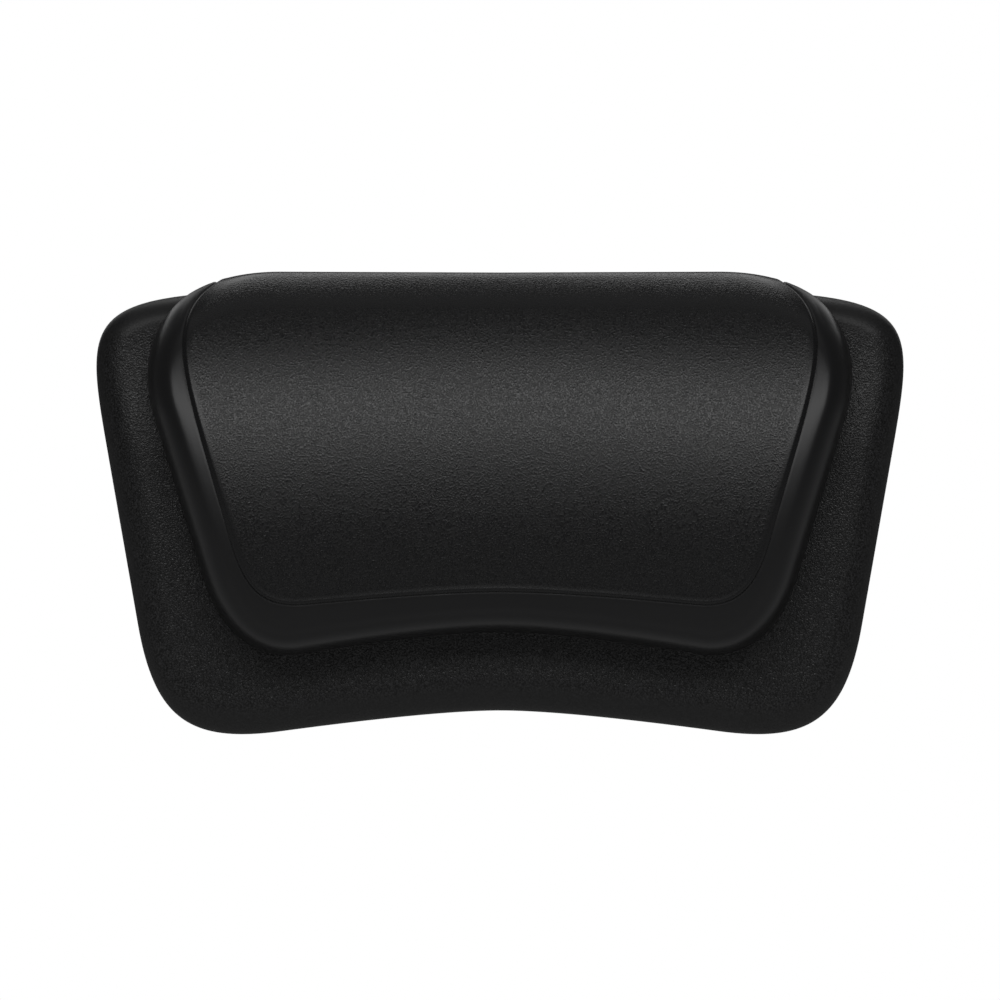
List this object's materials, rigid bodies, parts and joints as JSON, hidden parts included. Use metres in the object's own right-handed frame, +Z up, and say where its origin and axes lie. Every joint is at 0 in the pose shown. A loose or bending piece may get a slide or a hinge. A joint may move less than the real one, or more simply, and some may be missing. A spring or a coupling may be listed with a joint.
{
  "type": "bath pillow",
  "caption": "Moulded foam bath pillow: a raised head roll with a grained panel on a flat base pad, held to the tub wall by suction cups on its back.",
  "frame": {"origin": "in the plane of the tub wall that the four suction-cup rims lie in, at the middle of the four cups", "axes": "+Z up, +Y from the pillow towards the tub wall that it hangs on, +X along the pillow to the right as seen from the bather's side"},
  "size_m": [0.311, 0.0637, 0.1781],
  "materials": {
    "coarse_grain_skin": "satin",
    "smooth_skin": "satin",
    "fine_grain_skin": "satin",
    "foam": "matte",
    "back_sheet": "matte",
    "plate_plastic": "satin",
    "bush_elastomer": "matte",
    "clear_vinyl": "gloss"
  },
  "bodies": {
    "pillow": {"base_skin": "coarse_grain_skin", "base_foam": "foam", "back_sheet": "back_sheet", "insert_plate": "plate_plastic", "border_skin": "smooth_skin", "panel_skin": "fine_grain_skin", "head_foam": "foam"},
    "bush_upper_left": {"socket_bush_upper_left": "bush_elastomer"},
    "cup_upper_left": {"suction_cup_upper_left": "clear_vinyl"},
    "bush_upper_right": {"socket_bush_upper_right": "bush_elastomer"},
    "cup_upper_right": {"suction_cup_upper_right": "clear_vinyl"},
    "bush_lower_left": {"socket_bush_lower_left": "bush_elastomer"},
    "cup_lower_left": {"suction_cup_lower_left": "clear_vinyl"},
    "bush_lower_right": {"socket_bush_lower_right": "bush_elastomer"},
    "cup_lower_right": {"suction_cup_lower_right": "clear_vinyl"}
  },
  "joints": [
    {"name": "cup_turn_upper_left", "type": "hinge", "parent": "pillow", "child": "bush_upper_left", "pos_m": [-0.095, -0.014, 0.032], "axis": [0, 1, 0], "continuous": true},
    {"name": "cup_pull_upper_left", "type": "slide", "parent": "bush_upper_left", "child": "cup_upper_left", "axis": [0, 1, 0], "range_m": [0, 0.015], "deforming": ["socket_bush_upper_left"]},
    {"name": "cup_turn_upper_right", "type": "hinge", "parent": "pillow", "child": "bush_upper_right", "pos_m": [0.095, -0.014, 0.032], "axis": [0, 1, 0], "continuous": true},
    {"name": "cup_pull_upper_right", "type": "slide", "parent": "bush_upper_right", "child": "cup_upper_right", "axis": [0, 1, 0], "range_m": [0, 0.015], "deforming": ["socket_bush_upper_right"]},
    {"name": "cup_turn_lower_left", "type": "hinge", "parent": "pillow", "child": "bush_lower_left", "pos_m": [-0.075, -0.014, -0.032], "axis": [0, 1, 0], "continuous": true},
    {"name": "cup_pull_lower_left", "type": "slide", "parent": "bush_lower_left", "child": "cup_lower_left", "axis": [0, 1, 0], "range_m": [0, 0.015], "deforming": ["socket_bush_lower_left"]},
    {"name": "cup_turn_lower_right", "type": "hinge", "parent": "pillow", "child": "bush_lower_right", "pos_m": [0.075, -0.014, -0.032], "axis": [0, 1, 0], "continuous": true},
    {"name": "cup_pull_lower_right", "type": "slide", "parent": "bush_lower_right", "child": "cup_lower_right", "axis": [0, 1, 0], "range_m": [0, 0.015], "deforming": ["socket_bush_lower_right"]}
  ]
}
